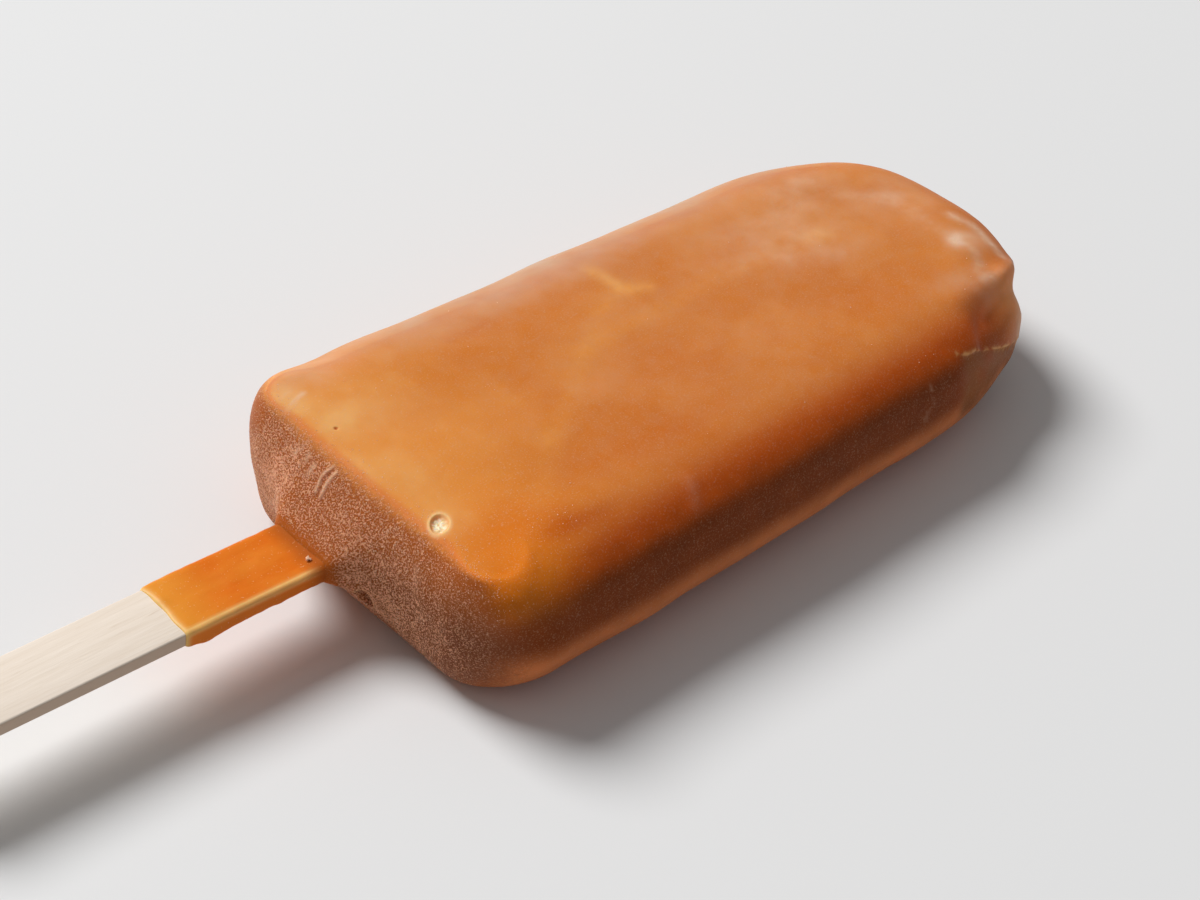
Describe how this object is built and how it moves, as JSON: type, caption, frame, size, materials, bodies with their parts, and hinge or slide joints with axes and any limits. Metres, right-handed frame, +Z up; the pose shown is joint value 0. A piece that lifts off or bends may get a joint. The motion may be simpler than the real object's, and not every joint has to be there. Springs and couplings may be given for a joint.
{
  "type": "ice lolly",
  "caption": "Caramel-brown ice lolly with a frosted end and a folded tip, on a flat wooden stick with coat run down it, lying flat.",
  "frame": {"origin": "on the surface that the lolly lies on, under the middle of its box", "axes": "+X along the lolly from the stick's free end to the tip, +Z up out of the shown face"},
  "size_m": [0.182, 0.0588, 0.0218],
  "materials": {
    "coat": "frozen caramel-brown coat, waxy, thin and yellow in places, white with frost at the stick end",
    "wood": "bare pale birch, smooth, with fine grain along the stick"
  },
  "bodies": {
    "root": {"coated_bar": "coat", "stick": "wood"}
  },
  "joints": []
}
